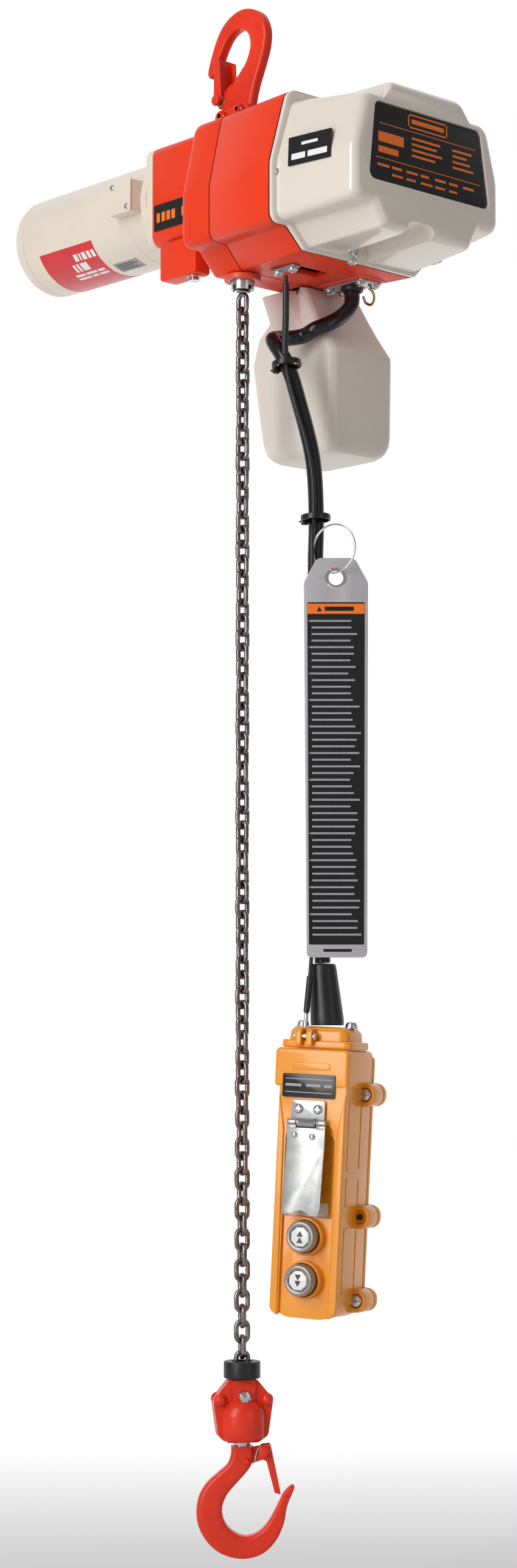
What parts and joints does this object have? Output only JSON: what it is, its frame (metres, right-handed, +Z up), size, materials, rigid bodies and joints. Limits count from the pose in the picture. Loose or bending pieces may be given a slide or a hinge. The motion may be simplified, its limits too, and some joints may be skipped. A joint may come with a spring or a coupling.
{
  "type": "chain hoist",
  "caption": "Electric chain hoist with a top suspension hook, cream control cover, motor, chain bucket, load hook with latch and a push-button pendant on a cable.",
  "frame": {"origin": "the inner saddle of the top hook, where it hangs on its support", "axes": "+X along the body from the motor towards the control cover's end face; +Y from the load chain towards the chain bucket; +Z up. The load chain hangs on X = 0, Y = 0."},
  "size_m": [0.478, 0.194, 1.2497],
  "materials": {
    "orange_casting": "smooth gloss enamel",
    "red_forging": "gloss enamel over a forging",
    "cream_cover": "gloss",
    "cream_motor": "satin enamel",
    "cream_bucket": "satin, slightly grained",
    "yellow_pendant": "gloss",
    "black_rubber": "matt",
    "black_nylon": "satin",
    "black_plate": "satin print",
    "tag_sheet": "laminated sheet",
    "steel": "turned and ground",
    "chain_steel": "case hardened, oiled",
    "galvanised": "zinc plated sheet",
    "bright_ring": "bright nickel",
    "button": "clear ring over a white cap",
    "circuit_board": "solder resist"
  },
  "bodies": {
    "hoist": {"top_hook": "red_forging", "top_latch_bolt": "red_forging", "suspension_plate_front": "red_forging", "suspension_plate_back": "red_forging", "suspension_bolt_left": "red_forging", "suspension_bolt_right": "red_forging", "gear_side_housing": "orange_casting", "main_housing": "orange_casting", "housing_gasket": "black_rubber", "cover_gasket": "black_rubber", "control_cover": "cream_cover", "nameplate": "black_plate", "circuit_board": "circuit_board", "gear_case": "orange_casting", "motor_flange": "cream_motor", "motor_housing": "cream_motor", "motor_end_cap": "cream_motor", "motor_stator": "steel", "rotor_bearing_front": "steel", "rotor_bearing_rear": "steel", "sheave_bearing_left": "steel", "sheave_bearing_right": "steel", "terminal_box": "cream_motor", "terminal_box_cover": "cream_motor", "balance_weight": "orange_casting", "load_chain": "chain_steel", "slack_chain": "chain_steel", "chain_guide": "steel", "chain_bucket": "cream_bucket", "gland_plate": "steel", "wire_clamp": "steel", "control_cable": "black_rubber", "strain_wire": "black_rubber", "cable_tie_upper": "black_nylon", "cable_tie_lower": "black_nylon", "tag_ring": "bright_ring", "cable_boot": "black_rubber", "pendant_case": "yellow_pendant", "pendant_back": "yellow_pendant", "pendant_cap": "yellow_pendant", "hinge_leaf": "galvanised"},
    "load_block": {"chain_cushion": "black_rubber", "yoke_front": "red_forging", "yoke_back": "red_forging", "chain_pin": "steel", "thrust_bearing": "steel"},
    "load_hook": {"bottom_hook": "red_forging", "bottom_latch_bolt": "red_forging"},
    "bottom_latch": {"bottom_latch": "red_forging"},
    "top_latch": {"top_latch": "red_forging"},
    "sheave": {"load_sheave": "steel", "load_gear": "steel"},
    "intermediate_gear": {"intermediate_gear": "steel"},
    "motor_rotor": {"motor_rotor": "steel"},
    "up_button": {"up_button": "button"},
    "down_button": {"down_button": "button"},
    "guard": {"guard": "galvanised"},
    "speed_dial_high": {"speed_dial_high": "black_nylon"},
    "speed_dial_low": {"speed_dial_low": "black_nylon"},
    "tag": {"tag": "tag_sheet"}
  },
  "joints": [
    {"name": "hook_lift", "type": "slide", "parent": "hoist", "child": "load_block", "axis": [0, 0, 1], "range_m": [0, 0.8], "deforming": ["load_chain"]},
    {"name": "bottom_hook_swivel", "type": "hinge", "parent": "load_block", "child": "load_hook", "pos_m": [0, 0, -1.13], "axis": [0, 0, 1], "continuous": true},
    {"name": "bottom_latch_pivot", "type": "hinge", "parent": "load_hook", "child": "bottom_latch", "pos_m": [0.01182, 0.0129, -1.1505], "axis": [-0.7373, 0.6756, 0], "range_deg": [0, 45], "stiffness_Nm_per_rad": 0.05, "springref_deg": -28.65},
    {"name": "top_latch_pivot", "type": "hinge", "parent": "hoist", "child": "top_latch", "pos_m": [-0.021, 0, -0.0565], "axis": [0, 1, 0], "range_deg": [0, 35], "stiffness_Nm_per_rad": 0.05, "springref_deg": -28.65},
    {"name": "sheave_spin", "type": "hinge", "parent": "hoist", "child": "sheave", "pos_m": [0, 0.03438, -0.128], "axis": [1, 0, 0], "continuous": true},
    {"name": "intermediate_gear_spin", "type": "hinge", "parent": "hoist", "child": "intermediate_gear", "pos_m": [0, 0.0635, -0.1241], "axis": [1, 0, 0], "continuous": true},
    {"name": "motor_spin", "type": "hinge", "parent": "hoist", "child": "motor_rotor", "pos_m": [0, 0.0435, -0.115], "axis": [1, 0, 0], "continuous": true},
    {"name": "up_button_press", "type": "slide", "parent": "hoist", "child": "up_button", "axis": [-0.383, 0.9235, -0.0206], "range_m": [0, 0.004], "stiffness_N_per_m": 400, "springref_m": -0.002},
    {"name": "down_button_press", "type": "slide", "parent": "hoist", "child": "down_button", "axis": [-0.383, 0.9235, -0.0206], "range_m": [0, 0.004], "stiffness_N_per_m": 400, "springref_m": -0.002},
    {"name": "guard_hinge", "type": "hinge", "parent": "hoist", "child": "guard", "pos_m": [0.09667, -0.02052, -0.8903], "axis": [-0.9231, -0.3819, 0.0443], "range_deg": [0, 110], "stiffness_Nm_per_rad": 0.01, "springref_deg": -57.3},
    {"name": "speed_dial_high_turn", "type": "hinge", "parent": "hoist", "child": "speed_dial_high", "pos_m": [0.09518, -0.01508, -0.91948], "axis": [-0.383, 0.9235, -0.0206], "range_deg": [-135, 135]},
    {"name": "speed_dial_low_turn", "type": "hinge", "parent": "hoist", "child": "speed_dial_low", "pos_m": [0.09432, -0.01601, -0.94545], "axis": [-0.383, 0.9235, -0.0206], "range_deg": [-135, 135]},
    {"name": "tag_swing", "type": "hinge", "parent": "hoist", "child": "tag", "pos_m": [0.086, 0.0221, -0.4584], "axis": [-0.6756, -0.7373, 0], "range_deg": [0, 25]}
  ],
  "couplings": [
    {"joint": "sheave_spin", "follows": "hook_lift", "rad_per_m": -29.089},
    {"joint": "intermediate_gear_spin", "follows": "hook_lift", "rad_per_m": 84.842},
    {"joint": "motor_spin", "follows": "hook_lift", "rad_per_m": -226.25}
  ]
}
